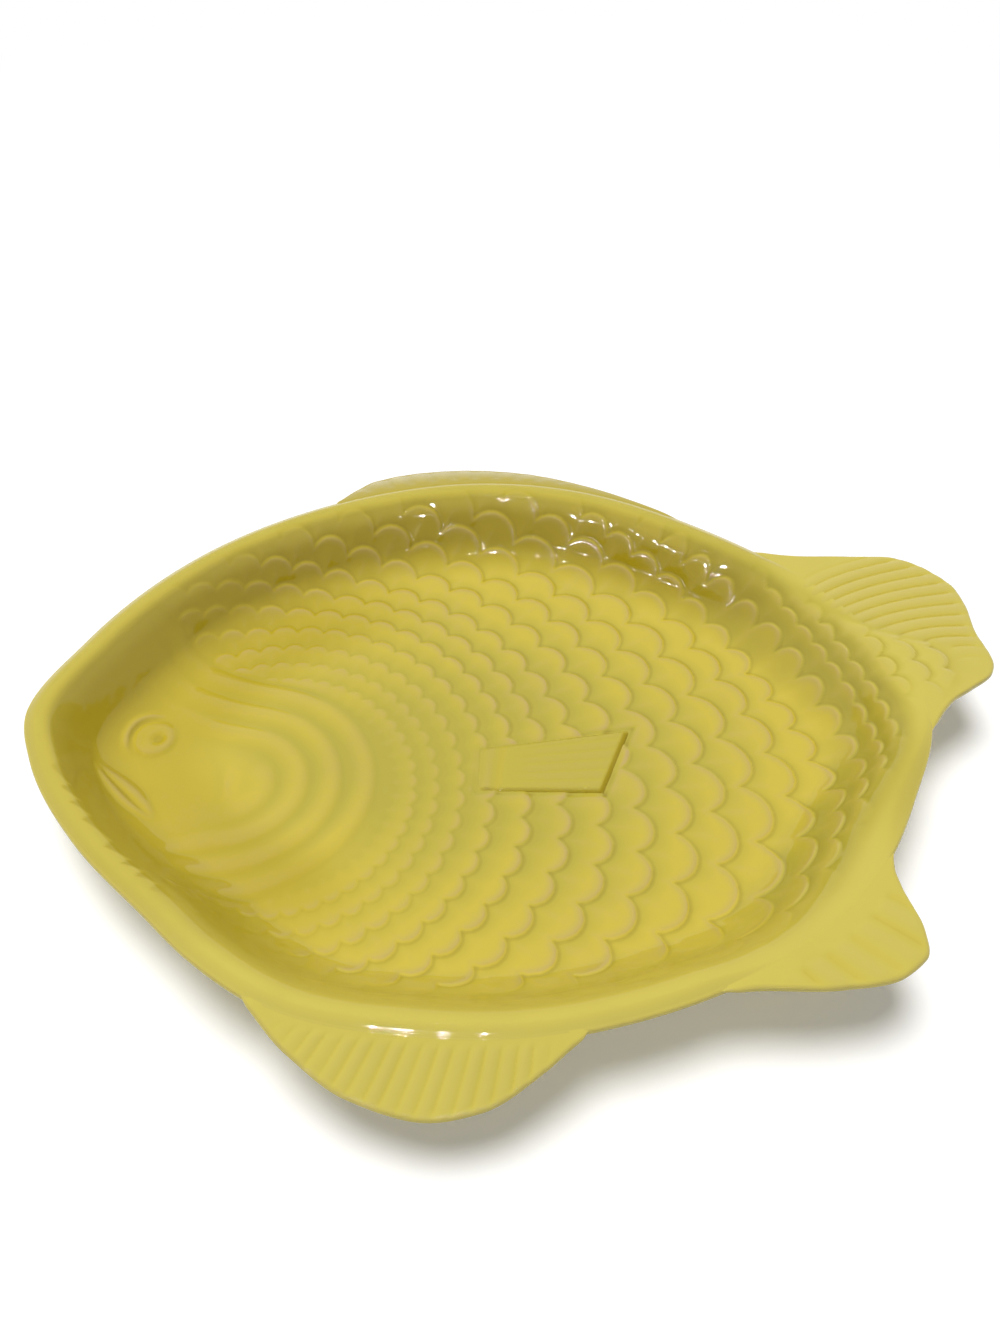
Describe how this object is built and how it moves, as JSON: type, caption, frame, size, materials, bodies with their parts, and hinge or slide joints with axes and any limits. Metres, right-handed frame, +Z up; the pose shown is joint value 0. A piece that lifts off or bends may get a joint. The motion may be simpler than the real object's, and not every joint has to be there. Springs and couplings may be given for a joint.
{
  "type": "fish shaped platter",
  "caption": "Glazed ceramic serving platter in the form of a fish: a scaled oval well with a rolled rim, fins and tail round it and a low foot ring.",
  "frame": {"origin": "on the table, under the middle of the platter's plan with its fins", "axes": "+X from the nose to the tail, +Y towards the dorsal fin, +Z up"},
  "size_m": [0.364, 0.2904, 0.04],
  "materials": {
    "well_glaze": "glossy yellow glaze",
    "rim_glaze": "glossy yellow glaze",
    "fin_glaze": "glossy yellow glaze",
    "relief_glaze": "glossy yellow glaze, thin on the edges of the relief",
    "bare_foot": "unglazed, wiped"
  },
  "bodies": {
    "root": {"well_floor": "well_glaze", "well_wall": "well_glaze", "rim": "rim_glaze", "foot_ring": "bare_foot", "dorsal_fin": "fin_glaze", "pelvic_fin": "fin_glaze", "anal_fin": "fin_glaze", "tail_fin": "fin_glaze", "pectoral_fin": "relief_glaze", "eye": "relief_glaze", "lips": "relief_glaze", "gill_ridges": "relief_glaze", "scales": "relief_glaze"}
  },
  "joints": []
}
